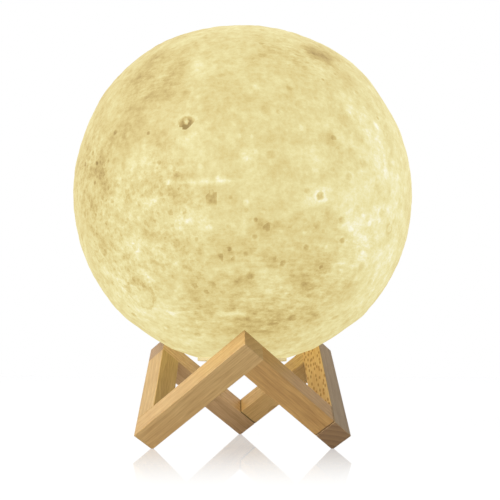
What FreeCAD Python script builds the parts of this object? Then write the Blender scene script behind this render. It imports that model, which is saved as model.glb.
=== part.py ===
import FreeCAD, Part
import math
import os

# A moon lamp: a hollow printed globe with a lit base module in its mouth, resting
# on the three high corners of a ring of six beech rails.
#
# Frame: millimetres, +Z up, the origin on the floor under the globe's axis, the
# front of the lamp towards -Y.

# ---------------------------------------------------------------- driving sizes
# The stand is the zigzag ring of six edges of a cube that stands on one corner.
STAND_CUBE = 61.0          # outer edge of that cube
RAIL = 10.0                # side of the square rails
RAIL_EASE = 0.4            # rounding of every rail edge
FOOT_FLAT = 0.6            # how much of each lowest corner is sanded away
DOWEL_D = 3.0              # glued dowel inside each high corner
DOWEL_DEPTH = 6.0          # how deep it goes in each rail
PEG_D = 4.0                # push-in peg at each foot
PEG_DEPTH = 6.0
PIN_GAP = 0.05             # all round a dowel or peg
PIN_END_GAP = 0.4          # room beyond each end of a pin or screw
PIN_CHAMFER = 0.4

# The globe
GLOBE_R = 75.0
GLOBE_WALL = 1.8
MOUTH_R = 18.5             # round opening at the bottom of the globe
SEAT_GAP = 0.3             # between the globe and the stand's high corners
MOUTH_RING_W = 7.5         # ring glued round the mouth, inside
MOUTH_RING_TOP = 8.5       # heights of the base module count from its underside
GLUE_GAP = 0.1

# The base cap that closes the mouth
CAP_GAP = 0.3              # between the cap's skirt and the mouth
CAP_OVERLAP = 1.1          # how far the flange reaches past the mouth
CAP_LIP = 1.2              # flange below the mouth's rim
CAP_ON_GLOBE = 0.15        # between the flange and the globe
CAP_FLOOR = 2.4
CAP_WALL = 1.4
CAP_HEIGHT = 12.2
CAP_EDGE = 0.4             # rounding of the flange's lower edge
HOOK_ARC = 18.0            # degrees
HOOK_REACH = 0.8           # past the mouth's wall
HOOK_GAP = 0.3             # above the mouth ring
HOOK_LAND = 0.4
HOOK_RAMP = 2.0
HOOK_SLIT = 1.0
HOOK_SLIT_FOOT = 4.0
HOOK_TURN = -30.0          # degrees, from +X to the first hook

# The touch ring in the cap's underside
TOUCH_IN_R = 9.6
TOUCH_W = 3.8
TOUCH_THICK = 1.3
TOUCH_PROUD = 0.3
TOUCH_GAP = 0.15           # round the ring in its groove
TOUCH_BED = 0.1            # under the ring in its groove
TOUCH_EDGE = 0.25
TOUCH_LEAD_TURN = 150.0    # degrees, from +X to the spot where the lead is soldered

# The charging port and its recess
PORT_L = 8.94
PORT_W = 3.26
PORT_LONG = 7.3
PORT_WALL = 0.3
PORT_GAP = 0.2
PORT_SET_BACK = 0.2        # the port's mouth above the recess floor
TONGUE_L = 6.7
TONGUE_T = 0.7
TONGUE_SET_BACK = 0.8
PORT_BLOCK = 1.2
PORT_BLOCK_GAP = 0.03
RECESS_L = 16.0
RECESS_W = 9.0
RECESS_DEPTH = 4.2
RECESS_WALL = 1.2
RECESS_FLOOR = 1.6

# The indicator's light pipe
LENS_R = 1.2
LENS_Y = -7.5
LENS_COLLAR_R = 1.7
LENS_COLLAR = 1.0
LENS_GAP = 0.05
LENS_TO_LED = 0.4

# Screws: thread radius, head radius, head height, length under the head
BASE_SCREW = (0.85, 1.5, 1.2, 12.0)
BOARD_SCREW = (0.75, 1.4, 1.0, 5.0)
LED_SCREW = (0.85, 1.6, 1.0, 4.6)
SCREW_GAP = 0.05           # round the thread where it holds
SCREW_PASS = 0.2           # round the thread where it passes through
HEAD_GAP = 0.3
HEAD_WALL = 0.9            # round the recess of a base screw's head
BOSS_WALL = 1.5
BASE_SCREW_INSET = 2.6     # from the skirt to the base screws' axes
BASE_SCREW_SEAT = 4.4
BASE_SCREW_TURN = 90.0     # degrees, from +X to the first base screw
HEAD_ROUND = 0.35          # rounding of a head's rim, as a share of its height
DRIVE_SLOT = 0.45          # width of the crossed drive slots
DRIVE_DEPTH = 0.6
DRIVE_SPAN = 1.2           # length of a drive slot, as a share of the head's radius

# The control board
BOARD_T = 1.2
BOARD_EDGE_GAP = 0.3       # between the board and the cup's lip
BOARD_NOTCH = 0.3          # round the bosses that pass the board
BOARD_SCREW_INSET = 3.4    # from the board's edge
BOARD_SCREW_Y = 3.5
TOUCH_CHIP = (4.9, 3.9, 1.5)
CHARGE_CHIP = (3.0, 3.0, 0.9)
COIL = (4.0, 4.0, 2.0)
TOUCH_CHIP_AT = (0.0, 0.6)
CHARGE_CHIP_AT = (9.0, -4.0)
COIL_AT = (-6.5, 8.0)
SMALL_PART = (1.6, 0.8, 0.6)
SMALL_PITCH = 2.6
SMALL_ROWS = ((5, -5.5, -4.2), (3, 0.5, 5.4))  # how many, and where the first one lies
INDICATOR_LED = (1.6, 1.2, 0.7)
SOCKET = (6.0, 4.6, 2.6)
SOCKET_AT = (-6.0, -9.0)
PLUG = (5.2, 3.6, 2.0)
PLUG_GAP = 0.05
PART_GAP = 0.02            # solder film under each part

# The cup that stands on the cap
CUP_TOP = 50.2
CUP_PLATE = 1.6
CUP_SEAT_GAP = 0.1
CUP_LIP = 2.0
CUP_LIP_T = 1.4
CUP_LIP_GAP = 0.2
CUP_BOSS_TOP = 17.4
CUP_STUD = 2.8             # depth of the bosses under the cup's plate
SHELF_T = 1.2              # upright wall inside the cup that the battery is taped to
SHELF_FOOT = 21.0

# The battery, upright in the cup
CELL = (20.0, 7.0, 30.0)
CELL_EDGE = 1.2
CELL_HEAD_ROOM = 0.6
PAD = (16.0, 1.0, 24.0)
CELL_BOARD = (16.0, 5.0, 1.0)
CELL_BOARD_GAP = 0.3

# The lit top
LED_BOARD_T = 1.2
LED_BOARD_GAP = 0.3        # between the light board and the dome's groove
LEDS = 12
LED_CIRCLE_R = 9.0
LED = (2.8, 3.5, 0.8)
LED_SCREW_INSET = 2.8      # from the light board's edge
WIRE_HOLE = (0.0, 11.0)
WIRE_HOLE_R = 2.2
DOME_INSET = 1.2           # from the cup's wall to the dome's
DOME_WALL = 1.1
DOME_SKIRT = 2.0
DOME_RISE = 10.0
DOME_BED = 0.6
DOME_GAP = 0.2

# Wires
WIRE_D = 1.0
WIRE_PITCH = 1.25
ARC_SHARE = 0.45           # of the shorter run beside a bend, taken by its arc
LEAD_FOOT = (4.6, 9.5)     # where the middle light lead is soldered
LEAD_SPREAD = 2.0
LEAD_RISE = 4.0            # straight up from the board
LEAD_CROSS = 13.0          # height at which the light leads have drawn together
CELL_LEAD_OUT = 6.0        # from the plug to the turn towards the cell board
CELL_LEAD_BEND = 1.4
CELL_LEAD_END = 3.0        # straight run into the cell board
TOUCH_LEAD_END = 3.4       # straight run at each end
TOUCH_LEAD_IN = 0.8        # its upper end is that much nearer to the axis, as a share

UP = FreeCAD.Vector(0, 0, 1)
FAR = 200.0


# ---------------------------------------------------------------- small helpers
def vec(x, y, z):
    return FreeCAD.Vector(x, y, z)


def disc(radius, low, high, x=0.0, y=0.0):
    return Part.makeCylinder(radius, high - low, vec(x, y, low))


def ring(inner, outer, low, high):
    return disc(outer, low, high).cut(disc(inner, low - 1, high + 1))


def block(size, x, y, low):
    """A box centred on x, y, with its underside at height low."""
    return Part.makeBox(size[0], size[1], size[2], vec(x - size[0] / 2, y - size[1] / 2, low))


def stadium(length, width, low, high):
    """A flat-sided oval along X."""
    half = (length - width) / 2
    middle = block((2 * half, width, high - low), 0, 0, low)
    ends = [disc(width / 2, low, high, x) for x in (-half, half)]
    return middle.fuse(ends).removeSplitter()


def turned(shape, angle):
    copy = shape.copy()
    copy.rotate(vec(0, 0, 0), UP, angle)
    return copy


def at(shape, x, y, z):
    copy = shape.copy()
    copy.translate(vec(x, y, z))
    return copy


def three_ways(shape, first=0.0):
    """Three copies of a shape, a third of a turn apart."""
    return [turned(shape, first + 120.0 * k) for k in range(3)]


def polar(radius, angle):
    turn = math.radians(angle)
    return radius * math.cos(turn), radius * math.sin(turn)


def turned_outline(outline, sweep=360.0):
    """A closed outline of (radius, height) points turned about Z."""
    points = [vec(r, 0, z) for r, z in outline]
    face = Part.Face(Part.makePolygon(points + points[:1]))
    return face.revolve(vec(0, 0, 0), UP, sweep)


def screw(kind, up=True):
    """A round-headed screw: its seat at height 0 and its thread going up or down."""
    thread_r, head_r, head_h, length = kind
    shank = disc(thread_r, 0, length)
    head = disc(head_r, -head_h, 0)
    rim = [e for e in head.Edges if e.BoundBox.ZMax < -head_h / 2]
    head = head.makeFillet(HEAD_ROUND * head_h, rim)
    slot = block((DRIVE_SPAN * head_r, DRIVE_SLOT, DRIVE_DEPTH), 0, 0, -head_h)
    whole = head.fuse(shank).removeSplitter().cut([slot, turned(slot, 90)])
    if not up:
        whole.rotate(vec(0, 0, 0), vec(1, 0, 0), 180)
    return whole


def wire(points):
    """A round wire along straight runs joined by tangent arcs as large as the runs allow."""
    spots = [vec(*p) for p in points]
    edges = []
    start = spots[0]
    for before, corner, after in zip(spots, spots[1:], spots[2:]):
        back = before - corner
        onward = after - corner
        half_turn = (math.pi - back.getAngle(onward)) / 2
        leg = ARC_SHARE * min(back.Length, onward.Length)
        radius = leg / math.tan(half_turn)
        back.normalize()
        onward.normalize()
        into = corner + back * leg
        out = corner + onward * leg
        inward = back + onward
        inward.normalize()
        middle = corner + inward * (radius / math.cos(half_turn) - radius)
        edges.append(Part.LineSegment(start, into).toShape())
        edges.append(Part.Arc(into, middle, out).toShape())
        start = out
    edges.append(Part.LineSegment(start, spots[-1]).toShape())
    section = Part.Circle(spots[0], spots[1] - spots[0], WIRE_D / 2).toShape()
    return Part.Wire(edges).makePipeShell([Part.Wire(section)], True, False)


# ---------------------------------------------------------------- where things lie
ROOT2 = math.sqrt(2)
ROOT3 = math.sqrt(3)
ROOT6 = math.sqrt(6)
SIDE = STAND_CUBE - RAIL                   # plane of the glued joint in the cube's frame
CUBE_LOW = SIDE / ROOT3 + FOOT_FLAT        # the cube's own corner, below the floor
CUBE_FRAME = FreeCAD.Placement(
    FreeCAD.Matrix(
        -1 / ROOT2, 1 / ROOT2, 0, 0,
        -1 / ROOT6, -1 / ROOT6, 2 / ROOT6, 0,
        1 / ROOT3, 1 / ROOT3, 1 / ROOT3, -CUBE_LOW,
        0, 0, 0, 1,
    )
)
# The rounded tip of a high corner is a ball of radius RAIL_EASE round this point.
TIP = CUBE_FRAME.multVec(vec(STAND_CUBE - RAIL_EASE, STAND_CUBE - RAIL_EASE, RAIL - RAIL_EASE))
TIP_OUT = math.hypot(TIP.x, TIP.y)
GLOBE_Z = TIP.z + math.sqrt((GLOBE_R + SEAT_GAP + RAIL_EASE) ** 2 - TIP_OUT ** 2)
RIM_DROP = math.sqrt(GLOBE_R ** 2 - MOUTH_R ** 2)
BASE_Z = GLOBE_Z - RIM_DROP - CAP_LIP      # underside of the base cap
GLOBE_IN_BASE = GLOBE_Z - BASE_Z           # the globe's centre above that underside
SKIRT_R = MOUTH_R - CAP_GAP
SKIRT_IN_R = SKIRT_R - CAP_WALL
LIP_R = SKIRT_IN_R - CUP_LIP_GAP
LIP_IN_R = LIP_R - CUP_LIP_T
BOARD_R = LIP_IN_R - BOARD_EDGE_GAP
DOME_R = SKIRT_R - DOME_INSET
DOME_IN_R = DOME_R - DOME_WALL - DOME_GAP  # inner edge of the dome's groove
LED_BOARD_R = DOME_IN_R - LED_BOARD_GAP
TOUCH_OUT_R = TOUCH_IN_R + TOUCH_W
RECESS_ROOF = RECESS_DEPTH + RECESS_FLOOR
PORT_FOOT = RECESS_DEPTH + PORT_SET_BACK
BOARD_Z = PORT_FOOT + PORT_LONG            # underside of the control board
BOARD_TOP = BOARD_Z + BOARD_T
PARTS_Z = BOARD_TOP + PART_GAP
INDICATOR_Z = BOARD_Z - PART_GAP - INDICATOR_LED[2]
PLUG_Z = PARTS_Z + SOCKET[2] - PLUG[2]
TOUCH_TOP = TOUCH_THICK - TOUCH_PROUD
CUP_FOOT = CAP_HEIGHT + CUP_SEAT_GAP
PLATE_Z = CUP_TOP - CUP_PLATE              # underside of the cup's plate
CELL_FOOT = PLATE_Z - CELL_HEAD_ROOM - CELL[2]
CELL_BOARD_Z = CELL_FOOT - CELL_BOARD_GAP - CELL_BOARD[2]
SHELF_Y = CELL[1] / 2 + PAD[1]
LED_BOARD_TOP = CUP_TOP + LED_BOARD_T
BASE_SCREW_R = SKIRT_R - BASE_SCREW_INSET
BASE_SCREWS_AT = [polar(BASE_SCREW_R, BASE_SCREW_TURN + 120 * k) for k in range(3)]
BOARD_SCREWS_AT = [(side * (BOARD_R - BOARD_SCREW_INSET), BOARD_SCREW_Y) for side in (-1, 1)]
LED_SCREWS_AT = [(side * (LED_BOARD_R - LED_SCREW_INSET), 0) for side in (-1, 1)]
TOUCH_LEAD_AT = polar((TOUCH_IN_R + TOUCH_OUT_R) / 2, TOUCH_LEAD_TURN)


def globe_ball(radius):
    """A ball round the globe's centre, in the base module's heights."""
    return Part.makeSphere(radius, vec(0, 0, GLOBE_IN_BASE))


def inside_skirt(shape):
    return shape.common(disc(SKIRT_R, -1, FAR))


def boss(kind, x, y, low, high):
    return disc(kind[0] + BOSS_WALL, low, high, x, y)


# ---------------------------------------------------------------- the stand
def front_pair():
    """The front pair of rails as one glued and sanded angle, in the cube's frame."""
    long_bar = Part.makeBox(RAIL, STAND_CUBE, RAIL, vec(SIDE, 0, 0))
    short_bar = Part.makeBox(SIDE - RAIL, RAIL, RAIL, vec(RAIL, SIDE, 0))
    angle = long_bar.fuse(short_bar).removeSplitter()
    outside = []
    for edge in angle.Edges:
        middle = edge.CenterOfMass
        if abs(middle.x - SIDE) + abs(middle.y - SIDE) > 1e-6:
            outside.append(edge)
    return angle.makeFillet(RAIL_EASE, outside)


def pin_hole(diameter, depth, foot, direction):
    return Part.makeCylinder(diameter / 2 + PIN_GAP, depth + PIN_END_GAP, foot, direction)


def long_rail():
    """Left foot to front high corner; the short rail is glued to its side."""
    half = RAIL / 2
    rail = front_pair().common(Part.makeBox(FAR, FAR, FAR, vec(SIDE, -FAR / 2, -FAR / 2)))
    dowel_at = vec(SIDE, STAND_CUBE - half, half)
    peg_at = vec(STAND_CUBE - half, half, RAIL)
    rail = rail.cut(pin_hole(DOWEL_D, DOWEL_DEPTH, dowel_at, vec(1, 0, 0)))
    rail = rail.cut(pin_hole(PEG_D, PEG_DEPTH, peg_at, vec(0, 0, -1)))
    rail.Placement = CUBE_FRAME
    above_floor = Part.makeBox(FAR, FAR, FAR, vec(-FAR / 2, -FAR / 2, 0))
    return rail.common(above_floor)


def short_rail():
    """Right foot to front high corner, between two long rails' side faces."""
    half = RAIL / 2
    rail = front_pair().common(Part.makeBox(FAR, FAR, FAR, vec(SIDE - FAR, -FAR / 2, -FAR / 2)))
    dowel_at = vec(SIDE, STAND_CUBE - half, half)
    peg_at = vec(RAIL, STAND_CUBE - half, half)
    rail = rail.cut(pin_hole(DOWEL_D, DOWEL_DEPTH, dowel_at, vec(-1, 0, 0)))
    rail = rail.cut(pin_hole(PEG_D, PEG_DEPTH, peg_at, vec(1, 0, 0)))
    rail.Placement = CUBE_FRAME
    return rail


def pin(diameter, depth, joint):
    """A pin with chamfered ends, across the joint plane at that place along the short rail."""
    half = RAIL / 2
    foot = vec(joint - depth, STAND_CUBE - half, half)
    rod = Part.makeCylinder(diameter / 2, 2 * depth, foot, vec(1, 0, 0))
    rod = rod.makeChamfer(PIN_CHAMFER, [e for e in rod.Edges if e.Closed])
    rod.Placement = CUBE_FRAME
    return rod


# ---------------------------------------------------------------- the globe and its base
def moon_shade():
    shell = globe_ball(GLOBE_R).cut(globe_ball(GLOBE_R - GLOBE_WALL))
    return shell.cut(disc(MOUTH_R, -FAR, GLOBE_IN_BASE))


def mouth_ring():
    """Glued inside the mouth: the ledge that the cap's hooks catch."""
    tall = ring(MOUTH_R + GLUE_GAP, MOUTH_R + MOUTH_RING_W, 0, MOUTH_RING_TOP)
    return tall.common(globe_ball(GLOBE_R - GLOBE_WALL - GLUE_GAP))


def hook():
    foot = MOUTH_RING_TOP + HOOK_GAP
    land = foot + HOOK_LAND
    ramp = land + HOOK_RAMP
    inside = SKIRT_R - CAP_WALL / 2
    tip = MOUTH_R + HOOK_REACH
    outline = [(inside, foot), (tip, foot), (tip, land), (SKIRT_R, ramp), (inside, ramp)]
    return turned(turned_outline(outline, HOOK_ARC), -HOOK_ARC / 2)


def hook_slits():
    """The two slits that let a hook's tongue bend."""
    through = 4 * CAP_WALL
    slit = block((through, HOOK_SLIT, FAR), SKIRT_R, 0, HOOK_SLIT_FOOT)
    side = HOOK_ARC / 2 + math.degrees(HOOK_SLIT / SKIRT_R)
    return turned(slit, -side).fuse(turned(slit, side))


def cap_flange():
    flange_r = MOUTH_R + CAP_OVERLAP
    plate = disc(flange_r, 0, 2 * CAP_FLOOR)
    plate = plate.makeFillet(CAP_EDGE, [e for e in plate.Edges if e.BoundBox.ZMax < CAP_EDGE])
    under_globe = globe_ball(GLOBE_R + CAP_ON_GLOBE).cut(disc(SKIRT_R, -FAR, FAR))
    return plate.cut(disc(SKIRT_IN_R, -1, FAR)).cut(under_globe)


def base_cap():
    solids = [cap_flange(), ring(SKIRT_IN_R, SKIRT_R, CAP_FLOOR, CAP_HEIGHT)]
    room = 2 * RECESS_WALL
    solids.append(stadium(RECESS_L + room, RECESS_W + room, 0, RECESS_ROOF))
    solids += three_ways(hook(), HOOK_TURN)
    for x, y in BASE_SCREWS_AT:
        head_cup = disc(BASE_SCREW[1] + HEAD_GAP + HEAD_WALL, 0, RECESS_ROOF, x, y)
        solids.append(inside_skirt(boss(BASE_SCREW, x, y, 0, CAP_HEIGHT)))
        solids.append(inside_skirt(head_cup))
    for x, y in BOARD_SCREWS_AT:
        solids.append(boss(BOARD_SCREW, x, y, CAP_FLOOR - TOUCH_EDGE, BOARD_Z))
    cap = disc(SKIRT_R, 0, CAP_FLOOR).fuse(solids)
    groove_in = TOUCH_IN_R - TOUCH_GAP
    groove_out = TOUCH_OUT_R + TOUCH_GAP
    cuts = [stadium(RECESS_L, RECESS_W, -1, RECESS_DEPTH)]
    cuts.append(stadium(PORT_L + 2 * PORT_GAP, PORT_W + 2 * PORT_GAP, 0, FAR))
    cuts.append(ring(groove_in, groove_out, -1, TOUCH_TOP + TOUCH_BED))
    cuts.append(disc(LENS_R + LENS_GAP, -1, FAR, 0, LENS_Y))
    cuts.append(disc(WIRE_D, -1, FAR, *TOUCH_LEAD_AT))
    cuts += three_ways(hook_slits(), HOOK_TURN)
    for x, y in BASE_SCREWS_AT:
        cuts.append(disc(BASE_SCREW[0] + SCREW_PASS, -1, FAR, x, y))
        cuts.append(disc(BASE_SCREW[1] + HEAD_GAP, -1, BASE_SCREW_SEAT, x, y))
    for x, y in BOARD_SCREWS_AT:
        depth = BOARD_SCREW[3] - BOARD_T + PIN_END_GAP
        cuts.append(disc(BOARD_SCREW[0] + SCREW_GAP, BOARD_Z - depth, FAR, x, y))
    return cap.cut(cuts).removeSplitter()


def touch_ring():
    plate = ring(TOUCH_IN_R, TOUCH_OUT_R, -TOUCH_PROUD, TOUCH_TOP)
    return plate.makeFillet(TOUCH_EDGE, [e for e in plate.Edges if e.BoundBox.ZMax < 0])


def indicator_lens():
    pipe = disc(LENS_R, 0, INDICATOR_Z - LENS_TO_LED, 0, LENS_Y)
    collar_foot = CAP_FLOOR + LENS_GAP
    collar = disc(LENS_COLLAR_R, collar_foot, collar_foot + LENS_COLLAR, 0, LENS_Y)
    return pipe.fuse(collar).removeSplitter()


def port_shell():
    high = BOARD_Z - PART_GAP
    outer = stadium(PORT_L, PORT_W, PORT_FOOT, high)
    thin = 2 * PORT_WALL
    inner = stadium(PORT_L - thin, PORT_W - thin, PORT_FOOT - 1, high - PORT_WALL)
    return outer.cut(inner)


def port_tongue():
    roof = BOARD_Z - PART_GAP - PORT_WALL - PORT_BLOCK_GAP
    inset = 2 * (PORT_WALL + PORT_BLOCK_GAP)
    root = stadium(PORT_L - inset, PORT_W - inset, roof - PORT_BLOCK, roof)
    foot = PORT_FOOT + TONGUE_SET_BACK
    tongue = block((TONGUE_L, TONGUE_T, roof - PORT_BLOCK / 2 - foot), 0, 0, foot)
    return root.fuse(tongue).removeSplitter()


def base_cup():
    """The upright cup over the control board: it holds the battery, and the lights stand on it."""
    solids = [disc(SKIRT_R, PLATE_Z, CUP_TOP)]
    solids.append(ring(LIP_IN_R, LIP_R, CUP_FOOT - CUP_LIP, CUP_FOOT + CUP_LIP_T))
    solids.append(ring(LIP_IN_R, SKIRT_R, CUP_FOOT, CUP_FOOT + CUP_LIP_T))
    shelf = (2 * SKIRT_R, SHELF_T, PLATE_Z - SHELF_FOOT)
    solids.append(inside_skirt(block(shelf, 0, SHELF_Y + SHELF_T / 2, SHELF_FOOT)))
    for x, y in LED_SCREWS_AT:
        solids.append(boss(LED_SCREW, x, y, PLATE_Z - CUP_STUD, CUP_TOP))
    cup = ring(SKIRT_IN_R, SKIRT_R, CUP_FOOT, CUP_TOP).fuse(solids)
    notch_r = BASE_SCREW[0] + BOSS_WALL + CUP_LIP_GAP
    cup = cup.cut([disc(notch_r, 0, CUP_FOOT, x, y) for x, y in BASE_SCREWS_AT])
    bosses = [boss(BASE_SCREW, x, y, CUP_FOOT, CUP_BOSS_TOP) for x, y in BASE_SCREWS_AT]
    cup = cup.fuse([inside_skirt(b) for b in bosses])
    cuts = [disc(WIRE_HOLE_R, PLATE_Z - 1, FAR, *WIRE_HOLE)]
    cuts.append(ring(DOME_IN_R, DOME_R + DOME_GAP, CUP_TOP - DOME_BED, FAR))
    for x, y in BASE_SCREWS_AT:
        cuts.append(disc(BASE_SCREW[0] + SCREW_GAP, 0, CUP_BOSS_TOP, x, y))
    for x, y in LED_SCREWS_AT:
        cuts.append(disc(LED_SCREW[0] + SCREW_GAP, PLATE_Z - CUP_STUD, FAR, x, y))
    return cup.cut(cuts).removeSplitter()


# ---------------------------------------------------------------- board and battery
def control_board():
    cuts = []
    for x, y in BASE_SCREWS_AT:
        cuts.append(disc(BASE_SCREW[0] + BOSS_WALL + BOARD_NOTCH, 0, FAR, x, y))
    for x, y in BOARD_SCREWS_AT:
        cuts.append(disc(BOARD_SCREW[0] + SCREW_PASS, 0, FAR, x, y))
    return disc(BOARD_R, BOARD_Z, BOARD_TOP).cut(cuts)


def on_board(size, x, y):
    """A part soldered to the top of the control board."""
    return block(size, x, y, PARTS_Z)


def board_parts():
    """The power coil and two rows of resistors and capacitors."""
    parts = [on_board(COIL, *COIL_AT)]
    for count, x, y in SMALL_ROWS:
        parts += [on_board(SMALL_PART, x + SMALL_PITCH * k, y) for k in range(count)]
    return Part.Compound(parts)


def battery_socket():
    """The socket on the board, open at the top and towards the leads for its plug."""
    x, y = SOCKET_AT
    room = (FAR, PLUG[1] + 2 * PLUG_GAP, FAR)
    end = x + FAR / 2 - PLUG[0] / 2 - PLUG_GAP
    return on_board(SOCKET, x, y).cut(block(room, end, y, PLUG_Z - PLUG_GAP))


def battery_cell():
    cell = block(CELL, 0, 0, CELL_FOOT)
    return cell.makeFillet(CELL_EDGE, cell.Edges)


def battery_lead(side):
    """From the plug to the protection board under the cell: side -1 is red, 1 is black."""
    plug_x = SOCKET_AT[0] + PLUG[0] / 2 + PART_GAP
    plug_y = SOCKET_AT[1] + side * WIRE_PITCH / 2
    plug_z = PLUG_Z + PLUG[2] / 2
    board_x = plug_x + CELL_LEAD_OUT - side * WIRE_PITCH
    board_y = -CELL_BOARD[1] / 2 - PART_GAP
    board_z = CELL_BOARD_Z + CELL_BOARD[2] / 2
    return wire([
        (plug_x, plug_y, plug_z),
        (board_x - CELL_LEAD_BEND, plug_y, plug_z),
        (board_x, board_y - CELL_LEAD_END, board_z),
        (board_x, board_y, board_z),
    ])


def led_leads():
    """Three leads from the control board up behind the battery to the light board."""
    leads = []
    for k in (-1, 0, 1):
        low_x = LEAD_FOOT[0] + k * LEAD_SPREAD
        high_x = WIRE_HOLE[0] + k * WIRE_PITCH
        leads.append(wire([
            (low_x, LEAD_FOOT[1], PARTS_Z),
            (low_x, LEAD_FOOT[1], PARTS_Z + LEAD_RISE),
            (high_x, WIRE_HOLE[1], PARTS_Z + LEAD_CROSS),
            (high_x, WIRE_HOLE[1], CUP_TOP - PART_GAP),
        ]))
    return Part.Compound(leads)


def touch_lead():
    """From the touch ring up to the underside of the control board."""
    x, y = TOUCH_LEAD_AT
    low = TOUCH_TOP + PART_GAP
    high = BOARD_Z - PART_GAP
    top_x = TOUCH_LEAD_IN * x
    top_y = TOUCH_LEAD_IN * y
    return wire([
        (x, y, low),
        (x, y, low + TOUCH_LEAD_END),
        (top_x, top_y, high - TOUCH_LEAD_END),
        (top_x, top_y, high),
    ])


# ---------------------------------------------------------------- the lit top
def led_board():
    cuts = [disc(LED_SCREW[0] + SCREW_PASS, 0, FAR, x, y) for x, y in LED_SCREWS_AT]
    return disc(LED_BOARD_R, CUP_TOP, LED_BOARD_TOP).cut(cuts)


def leds(first):
    """Every second light on the circle, from the first."""
    chip = block(LED, LED_CIRCLE_R, 0, LED_BOARD_TOP + PART_GAP)
    step = 360.0 / LEDS
    return Part.Compound([turned(chip, step * (k + 0.5)) for k in range(first, LEDS, 2)])


def led_dome():
    """The frosted dome over the lights: a short skirt under a shallow cap."""
    foot = CUP_TOP - DOME_BED + PIN_GAP
    shoulder = foot + DOME_SKIRT
    ball_r = (DOME_R ** 2 + DOME_RISE ** 2) / (2 * DOME_RISE)
    centre = vec(0, 0, shoulder + DOME_RISE - ball_r)
    above = disc(FAR, shoulder, FAR)
    outer = Part.makeSphere(ball_r, centre).common(above)
    outer = outer.fuse(disc(DOME_R, foot, shoulder)).removeSplitter()
    inner = Part.makeSphere(ball_r - DOME_WALL, centre).common(above)
    inner = inner.fuse(disc(DOME_R - DOME_WALL, foot - 1, shoulder))
    return outer.cut(inner).removeSplitter()


# ---------------------------------------------------------------- writing the nodes
def save(name, shape):
    shape.exportStep("parts/" + name + ".step")
    print(name, len(shape.Solids), "solids", round(shape.Volume, 1), "mm3", shape.isValid())


def save_base(name, shape):
    """A piece drawn in the base module's heights, put at its place above the floor."""
    save(name, at(shape, 0, 0, BASE_Z))


def save_stand():
    longs = three_ways(long_rail())
    shorts = three_ways(short_rail())
    for name, rail in zip(("front_left_rail", "right_rail", "back_left_rail"), longs):
        save(name, rail)
    for name, rail in zip(("front_right_rail", "back_right_rail", "left_rail"), shorts):
        save(name, rail)
    save("apex_dowels", Part.Compound(three_ways(pin(DOWEL_D, DOWEL_DEPTH, SIDE))))
    save("foot_pegs", Part.Compound(three_ways(pin(PEG_D, PEG_DEPTH, RAIL))))


def save_globe():
    save_base("moon_shade", moon_shade())
    save_base("mouth_ring", mouth_ring())
    save_base("base_cap", base_cap())
    save_base("touch_ring", touch_ring())
    save_base("indicator_lens", indicator_lens())
    save_base("port_shell", port_shell())
    save_base("port_tongue", port_tongue())
    save_base("base_cup", base_cup())
    save_base("led_dome", led_dome())


def save_electronics():
    save_base("control_board", control_board())
    save_base("touch_controller", on_board(TOUCH_CHIP, *TOUCH_CHIP_AT))
    save_base("charge_controller", on_board(CHARGE_CHIP, *CHARGE_CHIP_AT))
    save_base("board_parts", board_parts())
    save_base("indicator_led", block(INDICATOR_LED, 0, LENS_Y, INDICATOR_Z))
    save_base("battery_socket", battery_socket())
    save_base("battery_plug", block(PLUG, *SOCKET_AT, PLUG_Z))
    save_base("battery_cell", battery_cell())
    save_base("cell_board", block(CELL_BOARD, 0, 0, CELL_BOARD_Z))
    pad_z = CELL_FOOT + (CELL[2] - PAD[2]) / 2
    save_base("battery_pad", block(PAD, 0, (CELL[1] + PAD[1]) / 2, pad_z))
    save_base("battery_lead_red", battery_lead(-1))
    save_base("battery_lead_black", battery_lead(1))
    save_base("led_leads", led_leads())
    save_base("touch_lead", touch_lead())
    save_base("led_board", led_board())
    save_base("warm_leds", leds(0))
    save_base("white_leds", leds(1))


def save_screws():
    base = [at(screw(BASE_SCREW), x, y, BASE_SCREW_SEAT) for x, y in BASE_SCREWS_AT]
    board = [at(screw(BOARD_SCREW, False), x, y, BOARD_TOP) for x, y in BOARD_SCREWS_AT]
    light = [at(screw(LED_SCREW, False), x, y, LED_BOARD_TOP) for x, y in LED_SCREWS_AT]
    save_base("base_screws", Part.Compound(base))
    save_base("board_screws", Part.Compound(board))
    save_base("led_board_screws", Part.Compound(light))


os.makedirs("parts", exist_ok=True)
save_stand()
save_globe()
save_electronics()
save_screws()
print("globe centre", round(GLOBE_Z, 3), "base underside", round(BASE_Z, 3))
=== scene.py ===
# %% [markdown]
# # A moon lamp on a beech stand
# The lamp is a hollow ball printed in pale plastic, with the moon's relief on its skin and a
# light inside. It rests on three high corners of a zigzag ring of six square beech rails.
# The construction model gives every piece at its real size and place. This lesson adds what
# the eye sees: the relief and glow of the ball, the grain of the wood, and the plain
# finishes of the small parts inside and underneath.

# %% Load the construction model
import math

import bpy
from mathutils import Matrix, Vector


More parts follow.
